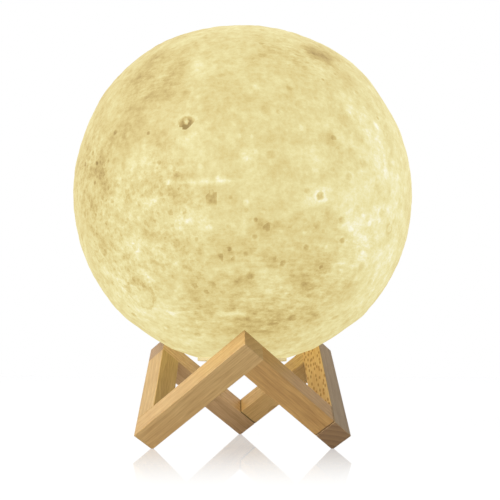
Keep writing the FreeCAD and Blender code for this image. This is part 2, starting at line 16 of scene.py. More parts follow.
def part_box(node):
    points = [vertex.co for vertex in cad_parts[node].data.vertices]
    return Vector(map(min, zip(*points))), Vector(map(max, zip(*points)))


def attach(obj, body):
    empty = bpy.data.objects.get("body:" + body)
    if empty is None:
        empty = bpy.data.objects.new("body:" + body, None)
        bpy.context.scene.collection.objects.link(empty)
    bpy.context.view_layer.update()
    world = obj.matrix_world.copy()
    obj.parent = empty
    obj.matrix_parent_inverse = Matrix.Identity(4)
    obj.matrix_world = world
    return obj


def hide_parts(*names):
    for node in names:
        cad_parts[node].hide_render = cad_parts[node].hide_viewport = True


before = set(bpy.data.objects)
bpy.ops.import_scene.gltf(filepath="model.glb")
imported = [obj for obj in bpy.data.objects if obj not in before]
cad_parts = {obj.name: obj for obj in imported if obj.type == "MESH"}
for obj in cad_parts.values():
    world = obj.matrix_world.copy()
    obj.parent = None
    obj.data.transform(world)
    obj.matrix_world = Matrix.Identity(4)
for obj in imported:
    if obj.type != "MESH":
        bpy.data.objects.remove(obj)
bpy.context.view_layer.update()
MM = 0.001
scene = bpy.context.scene

# %% [markdown]
# ## The camera
# The photograph was taken from in front, a little above the table, with the camera tipped
# up. A least-squares fit of the stand's corners gave the place, the three turns and the
# lens. Turning about the upright first, then tipping, then rolling keeps each angle readable.

# %% Place the camera
CAMERA_AT = Vector((-5.8, -297.7, 30.4)) * MM
PAN, TILT, ROLL = (math.radians(a) for a in (-1.75, 10.32, 0.2))
LENS_MM, SENSOR_MM = 48.0, 36.0

camera_data = bpy.data.cameras.new("photo_camera")
camera_data.sensor_width = SENSOR_MM
camera_data.lens = LENS_MM
camera_data.clip_start = 0.01
camera = bpy.data.objects.new("photo_camera", camera_data)
upright = Matrix.Rotation(PAN, 4, "Z") @ Matrix.Rotation(math.pi / 2 + TILT, 4, "X")
camera.matrix_world = Matrix.Translation(CAMERA_AT) @ upright @ Matrix.Rotation(ROLL, 4, "Z")
scene.collection.objects.link(camera)
scene.camera = camera
print("camera", round(CAMERA_AT.xy.length / MM), "mm from the lamp's axis")

# %% [markdown]
# ## A few helpers
# Colours are written as the hex values that a paint program shows, and one function turns
# them into the linear values that a shader adds up. Another adds one node of any kind, sets
# it up and links it, for materials and Geometry Nodes alike. Its inputs are values, sockets
# or nodes, and a node stands for its first output. Most nodes of both kinds have a name that
# starts with ShaderNode, which is left out here.

# %% Colour and node helpers
def linear(code):
    """An sRGB hex colour as the linear red, green, blue and alpha of a shader."""
    shares = [int(code[i:i + 2], 16) / 255 for i in (1, 3, 5)]
    bright = [s / 12.92 if s <= 0.04045 else ((s + 0.055) / 1.055) ** 2.4 for s in shares]
    return (*bright, 1.0)


def feed(node, inputs):
    """Sets or links a node's inputs, which are listed in their order, or by name or number."""
    for key, value in inputs.items() if isinstance(inputs, dict) else enumerate(inputs):
        if isinstance(value, bpy.types.Node):
            value = value.outputs[0]
        if isinstance(value, bpy.types.NodeSocket):
            node.id_data.links.new(value, node.inputs[key])
        else:
            node.inputs[key].default_value = value


def add(tree, kind, inputs=(), operation=None, stops=(), **settings):
    """One new node: its inputs, operation, ramp stops and other settings."""
    node = tree.nodes.new(kind if "Node" in kind else "ShaderNode" + kind)
    if operation:
        settings["operation"] = operation
    for key, value in settings.items():
        setattr(node, key, value)
    feed(node, inputs)
    if stops:
        points = node.color_ramp.elements
        while len(points) < len(stops):
            points.new(1.0)
        for point, (place, code) in zip(points, stops):
            point.position = place
            point.color = linear(code)
    return node


# %% Material helpers
SOFT = {"interpolation_type": "SMOOTHSTEP"}     # lets a Map Range node ease in and out


def finish(name, **constants):
    """A material with a Principled shader, whose constants are set on its own sockets."""
    material = bpy.data.materials.new(name)
    material.use_nodes = True
    tree = material.node_tree
    shader = tree.nodes["Principled BSDF"]
    for key, value in constants.items():
        shader.inputs[key.replace("_", " ")].default_value = value
    return material, tree, shader


def cover(shader, colour, grain, rough, strength, depth_mm):
    """Links a colour, and lets one grain vary the roughness and raise a bump."""
    tree = shader.id_data
    sheen = add(tree, "MapRange", {"Value": grain, "To Min": rough[0], "To Max": rough[1]})
    bump = add(tree, "Bump", {"Height": grain, "Strength": strength, "Distance": depth_mm * MM})
    feed(shader, {"Base Color": colour, "Roughness": sheen, "Normal": bump})


# %% [markdown]
# ## The floor, the background and the light
# The photograph has a pure white background, and a glossy white table top that mirrors the
# feet and fades out towards the viewer. The floor is a plain white surface. Only for what
# the camera sees it also shines by itself, so that it meets the white background with no
# edge, yet keeps the lamp's soft shadow. The mirror is a glossy layer that fades from the
# back foot towards the viewer.

# %% Make the floor
FLOOR_HALF = 4.0
WHITE = (1.0, 1.0, 1.0, 1.0)
TABLE_WHITE = (0.8, 0.8, 0.8, 1.0)        # the floor that lights the lamp from below
SHADOW_WHITE = (0.12, 0.12, 0.12, 1.0)    # the part of the seen floor that takes shadows
FLOOR_GLOW = 0.97                         # and the part that shines by itself
MIRROR_ROUGH = 0.03
MIRROR_SHARE = 0.47
MIRROR_FROM = -15 * MM                    # from here backwards it has its full share
MIRROR_TO = -130 * MM                     # and from here forwards there is none

floor_mesh = bpy.data.meshes.new("floor")
corners = [(x * FLOOR_HALF, y * FLOOR_HALF, 0) for x, y in ((-1, -1), (1, -1), (1, 1), (-1, 1))]
floor_mesh.from_pydata(corners, [], [(0, 1, 2, 3)])
floor = bpy.data.objects.new("floor", floor_mesh)
scene.collection.objects.link(floor)

floor_material = bpy.data.materials.new("white_table_top")
floor_material.use_nodes = True
nodes = floor_material.node_tree
nodes.nodes.clear()
place = add(nodes, "TexCoord").outputs["Object"]
depth = add(nodes, "SeparateXYZ", (place,)).outputs["Y"]
mirror = add(nodes, "MapRange", (depth, MIRROR_TO, MIRROR_FROM, 0.0, MIRROR_SHARE), **SOFT)
table = add(nodes, "BsdfDiffuse", {"Color": TABLE_WHITE})
shaded = add(nodes, "BsdfDiffuse", {"Color": SHADOW_WHITE})
glow = add(nodes, "Emission", {"Color": WHITE, "Strength": FLOOR_GLOW})
seen = add(nodes, "AddShader", (shaded, glow))
gloss = add(nodes, "BsdfGlossy", {"Color": WHITE, "Roughness": MIRROR_ROUGH})
top = add(nodes, "MixShader", (mirror, seen, gloss))
ray = add(nodes, "LightPath").outputs
looked_at = add(nodes, "Math", (ray["Is Camera Ray"], ray["Is Transmission Ray"]), "MAXIMUM")
both = add(nodes, "MixShader", (looked_at, table, top))
add(nodes, "OutputMaterial", {"Surface": both})
floor_mesh.materials.append(floor_material)

# %% [markdown]
# The photograph's rails are bright on the faces turned to the upper left and dark on those
# turned right, and the faces that lean over the table are bright as well. So the light comes
# from a soft lamp at the upper left and a low one in front. A weak lamp at the right and the
# world fill the shadows a little, and the world shows itself as white to the camera and in
# mirrors.

# %% Make the world and the studio lamps
WORLD_FILL, WORLD_TINT = 0.2, "#E6EEFF"
scene.view_settings.view_transform = "Standard"
world = bpy.data.worlds.new("white_studio")
world.use_nodes = True
scene.world = world
nodes = world.node_tree
nodes.nodes.clear()
ray = add(nodes, "LightPath").outputs
seen = ray["Is Camera Ray"]
for kind in ("Is Glossy Ray", "Is Transmission Ray"):
    seen = add(nodes, "Math", (seen, ray[kind]), "MAXIMUM")
strength = add(nodes, "MapRange", {"Value": seen, "To Min": WORLD_FILL, "To Max": 1.0})
tint = add(nodes, "Mix", {0: seen, 6: linear(WORLD_TINT), 7: WHITE}, data_type="RGBA")
sky = add(nodes, "Background", {"Color": tint.outputs[2], "Strength": strength})
add(nodes, "OutputWorld", {"Surface": sky})

TARGET = Vector((0, 0, 70 * MM))
STUDIO_LAMPS = {                      # place in metres, size in metres, watts, colour
    "key_lamp": ((-1.0, -0.65, 0.85), 0.5, 13.0, "#FFF8EC"),
    "low_front_lamp": ((-0.75, -1.1, 0.12), 0.5, 6.5, "#FFFAF4"),
    "right_fill_lamp": ((1.1, -0.9, 0.8), 0.7, 3.5, "#FFF6E8"),
}
for name, (place, size, watts, hue) in STUDIO_LAMPS.items():
    data = bpy.data.lights.new(name, "AREA")
    data.size = size
    data.energy = watts
    data.color = linear(hue)[:3]
    lamp = bpy.data.objects.new(name, data)
    aim = (TARGET - Vector(place)).to_track_quat("-Z", "Y").to_matrix().to_4x4()
    lamp.matrix_world = Matrix.Translation(place) @ aim
    scene.collection.objects.link(lamp)
print("lamps", list(STUDIO_LAMPS))

# %% [markdown]
# ## The ball
# The real shade is one hollow ball, printed in layers round its axis, with a round mouth at
# the bottom for the base. A ready-made sphere has no wall and no mouth, so the ball is
# lathed here: rings of points from the mouth's rim up to the top, outside and inside, and a
# strip of faces round the rim. Its sizes come from the construction model.

# %% Lathe the ball
WALL = 1.8 * MM
SEGMENTS = 384
OUTER_ROWS, INNER_ROWS = 222, 24

shade_low, shade_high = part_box("moon_shade")
BALL_R = (shade_high.x - shade_low.x) / 2
CENTRE = Vector((0, 0, shade_high.z - BALL_R))
MOUTH_R = math.sqrt(BALL_R ** 2 - (CENTRE.z - shade_low.z) ** 2)


def wall_rows(radius, count):
    """Rings of points from the mouth's rim towards the top, and the top point last."""
    start = math.asin(MOUTH_R / radius)
    points = []
    for row in range(count):
        polar = start + (math.pi - start) * row / count
        out = radius * math.sin(polar)
        height = CENTRE.z - radius * math.cos(polar)
        for k in range(SEGMENTS):
            turn = 2 * math.pi * k / SEGMENTS
            points.append((out * math.cos(turn), out * math.sin(turn), height))
    points.append((0, 0, CENTRE.z + radius))
    return points


def wall_faces(first, count, outward):
    """Faces between those rings, closed by a fan at the top."""
    faces = []
    for row in range(count):
        low = first + row * SEGMENTS
        for k in range(SEGMENTS):
            after = (k + 1) % SEGMENTS
            face = (low + k, low + after, low + SEGMENTS + after, low + SEGMENTS + k)
            if row == count - 1:
                face = (*face[:2], first + count * SEGMENTS)
            faces.append(face if outward else face[::-1])
    return faces


outer_points = wall_rows(BALL_R, OUTER_ROWS)
inner_first = len(outer_points)
ball_faces = wall_faces(0, OUTER_ROWS, True) + wall_faces(inner_first, INNER_ROWS, False)
for k in range(SEGMENTS):
    after = (k + 1) % SEGMENTS
    ball_faces.append((after, k, inner_first + k, inner_first + after))
ball_mesh = bpy.data.meshes.new("moon_relief_shade")
ball_mesh.from_pydata(outer_points + wall_rows(BALL_R - WALL, INNER_ROWS), [], ball_faces)
ball = bpy.data.objects.new("moon_relief_shade", ball_mesh)
scene.collection.objects.link(ball)
print("ball", len(ball_faces), "faces, mouth", round(2 * MOUTH_R / MM, 1), "mm across")

# %% [markdown]
# ## The moon's marks
# A lit shade of this kind shows the moon in two ways: as real relief, and as light and dark,
# because less light comes through where the wall is thicker. Those that stand out in the
# photograph are listed: longitude from the front and latitude, in degrees, and
# radius in millimetres. There are two lists. Grounds are soft: seas, highlands, rows of
# pale dots that make a ray, and areas that are pocked or streaked. Spots are small and
# crisp: craters and peaks. Each becomes one point that carries its own numbers. The
# photograph doesn't show the far side, so it gets the same marks once more, turned half
# round and upside down.
# The grounds named shade and shine are also partly painted shade and painted light, which even out
# the key lamp's light on the ball.

# %% List the soft grounds
WIDER = 1.2           # how far a ground's soft edge reaches beyond its seen outline
GROUNDS = {           # brightness, pocks, streaks, and height in mm per mm of radius
    # shade and shine are partly the ball's own tone and partly painted shade and painted light:
    # they darken mostly the upper left and lighten mostly the right, against the key lamp's light.
    "shade": (-1, 0, 0, 0),
    "shine": (0.75, 0, 0, 0),
    "deep": (-2, 0, 0, 0),
    "dark": (-1.3, 0, 0, 0),
    "dim": (-0.7, 0, 0, 0),
    "pale": (0.6, 0, 0, 0),
    "bright": (1.1, 0, 0, 0),
    "ray": (1.5, 0, 0, 0),
    "pocked": (0, 0.8, 0, 0),
    "streaked": (0, 0, 0.8, 0),
    "hill": (0, 0, 0, 0.06),
}
GROUND_SPOTS = {
    "shade": [
        (-42, 25, 28), (-62, -3, 14), (-42, -14, 7), (-27, -8, 4), (5, -57, 14), (35, 42, 8),
        (-8, -41, 6), (-10, -14, 4), (-24, 4, 6)],
    "shine": [(50, 2, 18), (52, -22, 20), (34, -14, 9), (60, -38, 10), (-56, -46, 9)],
    "deep": [
        (22, 38.4, 2.6), (27, 37.8, 3), (32, 36.6, 2.8), (24, 34.8, 2.8), (28, 34.2, 3.2),
        (31.5, 33.2, 2.8)],
    "dark": [
        (-66, 30, 5), (-62, 42, 6), (-48, 52, 6), (-23, 26, 5), (-26, 19, 5), (-34, 10, 5.5),
        (-40, 7, 5), (-47, -1, 6), (-49, -6, 6), (24, 3, 3.5), (5, -22, 4.5), (-7, -30, 4),
        (11, -31, 5), (23, -35, 6.5), (28, -31, 4.5), (19, -39, 5), (-17, -40, 4.5),
        (0, -37, 4.5), (17, -52, 6), (33, -49, 5), (40, -40, 5.5)],
    "dim": [
        (7, -54, 6), (22, -48, 4), (-36, 26, 7), (-43, 26, 6), (-29, 5, 5.5), (-22, 38, 4.5),
        (-34, 34, 6), (-44, -9, 4.5), (-55, -14, 5), (-51, -22, 4.5), (-30, -22, 4.5),
        (-18, -8, 4.5), (-20, -13, 3.5), (-2, 11, 7.5), (15, 27, 6), (7, 33, 6), (14, 15, 6.5),
        (6, -6, 6), (31, -1, 3.5), (36, 27, 5.5), (-1, -27, 4.5), (14, -21, 4.5), (23, -21, 5.5),
        (19, -27, 5.5), (30, -24, 2.5), (-18, -28, 5), (-6, -40, 5.5), (-15, -47, 6),
        (-21, -45, 4), (31, -41, 5.5), (-30, -38, 4), (6, -31, 4), (-27, 15, 7), (-37, 2, 4),
        (-8, 4, 5), (8, 9, 4), (0, 28, 5), (12, 30, 4), (27, 33, 4), (-27, -9, 4), (-19, -11, 4),
        (45, -8, 4), (12, -24, 3.5), (-7, -50, 3.5), (0, -57, 4), (-33, 33, 4), (0, 42, 6),
        (5, -12, 2.5), (-60, 2, 5), (10, -43, 4.5), (-18, -37, 3.5), (-27, -26, 3.5),
        (-34.5, 1.5, 3.5), (-20, 15, 4), (2, 11, 4), (3, 24, 5), (-1.5, -2.5, 2.5), (-7, -10, 3),
        (-18.5, -6.5, 3), (26, -44, 3), (1, -56, 4), (-8, 16, 3.5)],
    "pale": [
        (-46, 17, 4.5), (-31, -2, 5.5), (-35, -6, 4), (-29, -14, 4), (-14, 26, 5), (28, 6, 4),
        (26, -10, 4), (21, -17, 4), (27, -22, 4), (17, -45, 6), (-13, -44, 4), (-35, -31, 5),
        (-48, -13, 6), (-31, -18, 3.5), (60, -22, 6), (-20, 5, 3), (14, 13, 4), (17, 5, 4),
        (0, -4, 4), (-8, -7, 4), (-13, -3, 3.5), (-11, -21, 4), (-6, -21, 3), (-1, -17, 3.5),
        (-53, -42, 6), (-55, -33, 5.5), (-37, -63, 5), (19, -13, 5.5), (33, 16, 6.5),
        (7, -39, 4.5), (2, -32, 3), (44, -29, 6), (1, 17, 4), (24, -8, 4), (52, -1, 4.5),
        (45, 6, 4), (60, 20, 9), (33, -6, 4), (29, -9, 3.5), (27, 6, 3.5), (4.5, -30.5, 3.5),
        (22.5, -19, 3), (-1.5, 2.5, 3), (-14, 20.5, 5), (-27, -1, 3.5), (-50, -8, 4),
        (-40, -12, 3.5), (42, -52, 6), (24, -47, 4), (-11, -45, 4), (-2, -21, 3.5), (33, 1, 4)],
    "bright": [
        (21.5, -12.5, 3.4), (-15.5, 2.6, 1.6), (-15, 25, 5.5), (-17, -20, 4.5), (-38, -26, 4),
        (-37, -47, 6), (18, -3, 5.5), (39, -20, 6.5), (32, -17, 5.5), (42, -1, 6), (40, 10, 6),
        (53, -14, 5.5), (55, -26, 5.5)],
    "pocked": [
        (-45, -14, 14), (-30, -14, 12), (-52, -30, 12), (-38, -32, 10), (-56, 0, 12),
        (-20, -16, 11), (-24, -5, 8), (-22, -30, 9)],
    "streaked": [
        (20, -38, 14), (35, -30, 12), (2, -36, 10), (26, -52, 12), (6, -50, 10), (-12, -48, 10),
        (-30, -52, 12), (12, 36, 10), (22, 30, 9), (-30, 22, 12), (-8, -28, 8)],
    "ray": [(k - 18, -10.1, 1.1) for k in range(15)] + [
        (2 * k - 11, -49.3, 1.4) for k in range(6)],
    "hill": [(-57, 43, 17), (56, 44, 10)],
}

# %% List the crisp spots
# The last of a spot's tones is a painted highlight, a little above its middle.
SPOTS = {             # depth and rim in mm per mm of radius; tones of floor, rim and middle
    "pit": (0.2, 0.04, -2.1, 0.5, 0),
    "dark": (0.12, 0.02, -1.2, 0.2, 0),
    "gleam": (-0.03, 0, 1.2, 0, 0),
    "bright_gleam": (-0.03, 0, 1.9, 0.3, 0),
    "peaked": (0.16, 0.05, -5.2, 1.3, 5.8),
    "bowl": (0.12, 0.03, -2.6, 0.4, 1.6),
    "rayed": (0.18, 0.05, -3.6, 0.9, 1.5),
    "walled": (0.02, 0.05, 0.1, -1.7, 0),
}
SPOT_PLACES = {
    "pit": [
        (-28.4, 5.1, 0.9), (-24.6, -3.9, 1), (-41.5, 7.9, 1.3), (-52.6, 4.3, 1.1),
        (-57.5, 2.1, 1.1), (-21.7, -18, 1.7), (-60, -13.1, 1.6), (-42.4, -12.1, 1.2),
        (18.7, -27.2, 1.2), (30.8, -24.2, 1.3), (11.5, -32.1, 1.6), (25.8, -32.6, 1),
        (5.8, -22, 2.1), (2.7, -20.2, 1.1), (2.4, -24.9, 1.1), (24.3, 23.2, 0.8),
        (44.9, 14.9, 1), (24.6, 3.7, 1.3), (-7.3, -30.6, 1.8), (-4.2, -30.9, 1.2),
        (-5.3, -28.4, 1.1), (-15.1, -25.4, 0.9), (-61.1, -47.4, 1.9), (-59.2, -44.3, 0.8),
        (-18.3, -39, 1.6), (-14.5, -41.2, 1.2), (22.2, -50.6, 2.2)],
    "dark": [
        (-19.7, 2.2, 0.8), (-4.5, -14.4, 0.9), (-24.3, -12.7, 1), (-27.7, -9.5, 1),
        (-46.6, -6.5, 1.2), (-43.8, -8.1, 0.9), (-50.5, -5.5, 0.9), (-46.8, -10.6, 1.1),
        (-53.7, -2.4, 1.3), (-49.5, 0.3, 1.1), (-46.9, -2.9, 1), (-43.5, -0.5, 1),
        (-14.9, -12.9, 0.9), (-5.1, -22.1, 0.9), (-47.2, -17.7, 0.9), (-30.7, -19.8, 1.2),
        (-37.6, -20, 1.1), (12.5, -21.9, 1.3), (9.1, -30.9, 1), (1.5, -36, 1.7),
        (21.8, -38.1, 2.2), (27.9, -34.1, 1), (33, -48.7, 2), (16.6, -42.2, 1.3),
        (4.6, -48.9, 1.2), (20.8, -20.6, 1.7), (16.8, -19.8, 1.2), (28.4, -18.2, 0.9),
        (-12, -39, 2), (2, -28.5, 1.6), (14, 27, 1), (16, 27, 1.1), (18, 26.7, 1),
        (20, 26.2, 0.9), (5, 30.7, 1.7), (5.3, 37.3, 1.4), (8.4, 9.6, 1), (25.8, 1.2, 1),
        (30.3, 6.5, 1.1), (30.7, 27.3, 1), (-28.5, -30.9, 0.8), (-49.5, -29.1, 1),
        (-12.5, -32.4, 1), (-17, -36.5, 1.6), (-21.6, -48.5, 1.1), (-3.5, -38.3, 1.1),
        (-8.3, -41.5, 1.1), (-36.2, -56.7, 0.9), (-33.2, -64.5, 1.2)],
    "gleam": [
        (-12.7, -6.1, 1.3), (-24.9, -0.1, 1.4), (-29.6, 1.3, 1.3), (-1.9, 2, 1.2),
        (-21.9, -9.6, 1.2), (-18.3, -17.4, 1.1), (-20.7, -19.9, 1), (-41.5, 13.4, 1.4),
        (-36.1, 6.1, 1.4), (-30.8, -7.7, 1.3), (4.6, -18.3, 1), (10.3, -23, 1), (17.3, -23.1, 1),
        (25.6, -26.7, 0.9), (4.6, -30.8, 1), (12.8, -39.7, 1), (36.5, -16.3, 1.1),
        (33.5, -21, 1.1), (40.3, -18.2, 1.4), (40.8, -26.4, 1.4), (52.9, -14, 1.4),
        (15.2, 5.3, 1.8), (2.5, 17.2, 1.5), (1.1, 2, 0.8), (2.1, -2.2, 1.3), (-0.3, -4.2, 1.3),
        (27.4, 14.4, 1.3), (15.6, 33.2, 1.2), (-14.9, -35.1, 1.1), (-26.6, -40.5, 0.9),
        (-32, -32.2, 1.3), (-24.3, -44.1, 1.4), (-34, -48.8, 1.8), (-46.3, -64.2, 1.7),
        (-53.6, -50.7, 1.2), (-46.1, -54.9, 1.2), (-16.3, 2.2, 1.3), (-14.2, 3.4, 1),
        (-16.9, -20.2, 1.5), (-10.9, -22.4, 1.4)],
    "bright_gleam": [
        (-8, -9.2, 0.9), (-0.3, -15.8, 1.5), (1.1, -41.9, 1.1), (42.6, 11.4, 1.6),
        (-37.7, -25.2, 1.3), (-36.2, -27.2, 1.2)],
    "peaked": [(-16.7, 6, 3.4)],
    "bowl": [(-9.4, -14, 3.7)],
    "rayed": [(20.7, -12.9, 1.7)],
    "walled": [(-44, -41, 6), (51.7, -17.7, 1.8)],
}


# %% Turn both lists into points that carry their numbers
def on_ball(longitude, latitude):
    """The point of the ball at a longitude from the front, and latitude, in degrees."""
    east, north = math.radians(longitude), math.radians(latitude)
    flat = math.cos(north)
    way = Vector((flat * math.sin(east), -flat * math.cos(east), math.sin(north)))
    return CENTRE + BALL_R * way


def both_sides(listed):
    """The listed marks, and the same ones upside down on the far side."""
    return listed + [
        (180 + longitude, -latitude, radius) for longitude, latitude, radius in listed]


def point_cloud(name, places, columns):
    """An object of loose points, with one vector attribute per column."""
    mesh = bpy.data.meshes.new(name)
    mesh.from_pydata(places, [], [])
    for column, rows in columns.items():
        held = mesh.attributes.new(column, "FLOAT_VECTOR", "POINT")
        held.data.foreach_set("vector", [value for row in rows for value in row])
    made = bpy.data.objects.new(name, mesh)
    scene.collection.objects.link(made)
    return made


places, shapes, looks = [], [], []
for kind, listed in GROUND_SPOTS.items():
    bright, pocks, streaks, lift = GROUNDS[kind]
    for longitude, latitude, radius in both_sides(listed):
        # near the outline a ground is wider than it looks from in front
        slant = abs(math.cos(math.radians(longitude)) * math.cos(math.radians(latitude)))
        places.append(on_ball(longitude, latitude))
        shapes.append((WIDER * radius / math.sqrt(slant) * MM, lift * radius * MM, 0.0))
        looks.append((bright, pocks, streaks))
GROUND_COUNT = len(places)
grounds = point_cloud("moon_grounds", places, {"shape": shapes, "looks": looks})

places, shapes, looks = [], [], []
for kind, listed in SPOT_PLACES.items():
    depth, rim, floor_tone, rim_tone, highlight_tone = SPOTS[kind]
    for longitude, latitude, radius in both_sides(listed):
        places.append(on_ball(longitude, latitude))
        shapes.append((radius * MM, depth * radius * MM, rim * radius * MM))
        looks.append((floor_tone, rim_tone, highlight_tone))
spots = point_cloud("moon_spots", places, {"shape": shapes, "looks": looks})
print(GROUND_COUNT, "grounds and", len(places), "spots")

# %% [markdown]
# ## Pressing the relief
# Craters repeat and follow a rule, which is what Geometry Nodes are for. A repeat zone goes
# through the grounds one by one and adds up their soft weights. For the spots every point of
# the ball looks up the nearest one only. It stores the way to that spot, counted in the
# spot's radii, and the material works out each ring from it afresh, so small craters stay
# crisp although the ball's own points are a millimetre apart. Far from any spot, and where
# a neighbouring point looks at another spot, the way points out of the ball, so that halfway
# between two spots it never passes through zero. Hundreds of small craters, scattered with a
# fixed seed, fill the rest in the same manner.

# %% Start the relief tree with named inputs
INPUTS = {           # by the kind of socket
    "Geometry": ("Ball",),
    "Object": ("Grounds", "Spots"),
    "Material": ("Finish",),
    "Int": ("Ground count", "Seed"),
    "Float": ("Crater spacing", "Smallest crater", "Largest crater", "Mean ground",
              "Rolling ground", "Rough ground", "Tip height"),
}
relief = bpy.data.node_groups.new("moon_relief", "GeometryNodeTree")
relief.is_modifier = True
sockets = {name: relief.interface.new_socket(name, socket_type="NodeSocket" + kind)
           for kind, names in INPUTS.items() for name in names}
relief.interface.new_socket("Ball", in_out="OUTPUT", socket_type="NodeSocketGeometry")
given = add(relief, "NodeGroupInput").outputs

# %% Fields of the ball's points and of the marks
here = add(relief, "GeometryNodeInputPosition")
from_centre = add(relief, "VectorMath", (here, CENTRE), "SUBTRACT")
outward = add(relief, "VectorMath", (from_centre,), "NORMALIZE")
reach = add(relief, "VectorMath", (from_centre,), "LENGTH").outputs["Value"]
is_outside = add(relief, "Math", (reach, BALL_R - WALL / 2), "GREATER_THAN")
carried = [add(relief, "GeometryNodeInputNamedAttribute", {"Name": name},
               data_type="FLOAT_VECTOR") for name in ("shape", "looks")]


def mark_at(points, index):
    """The place, shape and looks of one mark."""
    return [add(relief, "GeometryNodeSampleIndex", {
        "Geometry": points, "Value": value, "Index": index}, data_type="FLOAT_VECTOR")
        for value in (here, *carried)]


# %% Add up the grounds in a repeat zone
SOFT_FROM, SOFT_TO = 0.25, 1.25      # where a ground's weight starts and ends to fade, in radii
ground_points = add(relief, "GeometryNodeObjectInfo", {"Object": given["Grounds"]})
loop_in = add(relief, "GeometryNodeRepeatInput")
loop_out = add(relief, "GeometryNodeRepeatOutput")
loop_in.pair_with_output(loop_out)
loop_out.repeat_items.new("FLOAT", "Height")
loop_out.repeat_items.new("VECTOR", "Looks")
feed(loop_in, {"Iterations": given["Ground count"]})
mark, shape, its_looks = mark_at(ground_points.outputs["Geometry"], loop_in.outputs["Iteration"])
size, lift = add(relief, "SeparateXYZ", (shape,)).outputs[:2]
apart = add(relief, "VectorMath", (here, mark), "DISTANCE").outputs["Value"]
ratio = add(relief, "Math", (apart, size), "DIVIDE")
share = add(relief, "MapRange", (ratio, SOFT_FROM, SOFT_TO, 1.0, 0.0), **SOFT)
part = add(relief, "VectorMath", {0: its_looks, "Scale": share}, "SCALE")
total = add(relief, "VectorMath", (loop_in.outputs["Looks"], part), "ADD")
height = add(relief, "Math", (share, lift, loop_in.outputs["Height"]), "MULTIPLY_ADD")
feed(loop_out, {"Looks": total, "Height": height})
height, ground_looks = loop_out.outputs["Height"], loop_out.outputs["Looks"]

# %% Scatter the small craters
SMALL_LOOKS = ((-1.3, -0.2, 0.0), (0.5, 0.4, 0.0))     # their tones lie between these
SMALL_DEPTH, SMALL_RIM = 0.09, 0.02                    # in mm per mm of radius
MOST_PER_M2 = 60000.0
scattered = add(relief, "GeometryNodeDistributePointsOnFaces", {
    "Mesh": given["Ball"], "Selection": is_outside, "Distance Min": given["Crater spacing"],
    "Density Max": MOST_PER_M2, "Seed": given["Seed"]}, distribute_method="POISSON")
radius = add(relief, "FunctionNodeRandomValue", {
    2: given["Smallest crater"], 3: given["Largest crater"], "Seed": 1}).outputs[1]
depth, rim = (add(relief, "Math", (radius, share), "MULTIPLY")
              for share in (SMALL_DEPTH, SMALL_RIM))
small_shape = add(relief, "CombineXYZ", (radius, depth, rim))
small_looks = add(relief, "FunctionNodeRandomValue", {
    0: SMALL_LOOKS[0], 1: SMALL_LOOKS[1], "Seed": 2}, data_type="FLOAT_VECTOR")
for name, value in (("shape", small_shape), ("looks", small_looks)):
    scattered = add(relief, "GeometryNodeStoreNamedAttribute", {
        "Geometry": scattered, "Name": name, "Value": value}, data_type="FLOAT_VECTOR")

# %% Look up the nearest crater
FAR_WAY = 4.0                        # the way, in radii, where there is no crater near
PRESSED = (                          # fades of the bowl, of the rim's two sides, and of the way
    (0.1, 1.0, 1.0, 0.0), (0.5, 1.0, 0.0, 1.0), (1.0, 1.9, 1.0, 0.0), (1.9, 2.6, 0.0, 1.0))


def nearest_crater(points, height):
    """Adds the nearest crater to the height; gives the way to it in radii, and its looks."""
    index = add(relief, "GeometryNodeSampleNearest", {"Geometry": points})
    mark, shape, its_looks = mark_at(points, index)
    size, depth, rim = add(relief, "SeparateXYZ", (shape,)).outputs
    way = add(relief, "VectorMath", (here, mark), "SUBTRACT")
    per_size = add(relief, "Math", (1.0, size), "DIVIDE")
    way = add(relief, "VectorMath", {0: way, "Scale": per_size}, "SCALE")
    ratio = add(relief, "VectorMath", (way,), "LENGTH").outputs["Value"]
    bowl, rise, fall, fade = (
        add(relief, "MapRange", (ratio, *steps), **SOFT) for steps in PRESSED)
    bowl = add(relief, "Math", (bowl, depth), "MULTIPLY")
    ring = add(relief, "Math", (rise, fall), "MULTIPLY")
    height = add(relief, "Math", (ring, rim, height), "MULTIPLY_ADD")
    height = add(relief, "Math", (height, bowl), "SUBTRACT")
    out = add(relief, "VectorMath", {0: outward, "Scale": FAR_WAY}, "SCALE")
    smooth = add(relief, "GeometryNodeBlurAttribute", {"Value": index, "Iterations": 1})
    same = add(relief, "Math", (smooth, index, 0.001), "COMPARE")
    border = add(relief, "Math", (1.0, same), "SUBTRACT")
    fade = add(relief, "Math", (fade, border), "MAXIMUM")
    way = add(relief, "Mix", {0: fade, 4: way, 5: out}, data_type="VECTOR").outputs[1]
    return height, way, its_looks


spot_points = add(relief, "GeometryNodeObjectInfo", {"Object": given["Spots"]})
height, spot_way, spot_looks = nearest_crater(spot_points.outputs["Geometry"], height)
height, small_way, small_looks = nearest_crater(scattered, height)

# %% [markdown]
# The whole relief stands a little proud of the bare ball, and noise makes it roll. Where the
# corners of the stand touch the ball, all round as it turns, and at the mouth, the relief is
# held down to the bare ball.

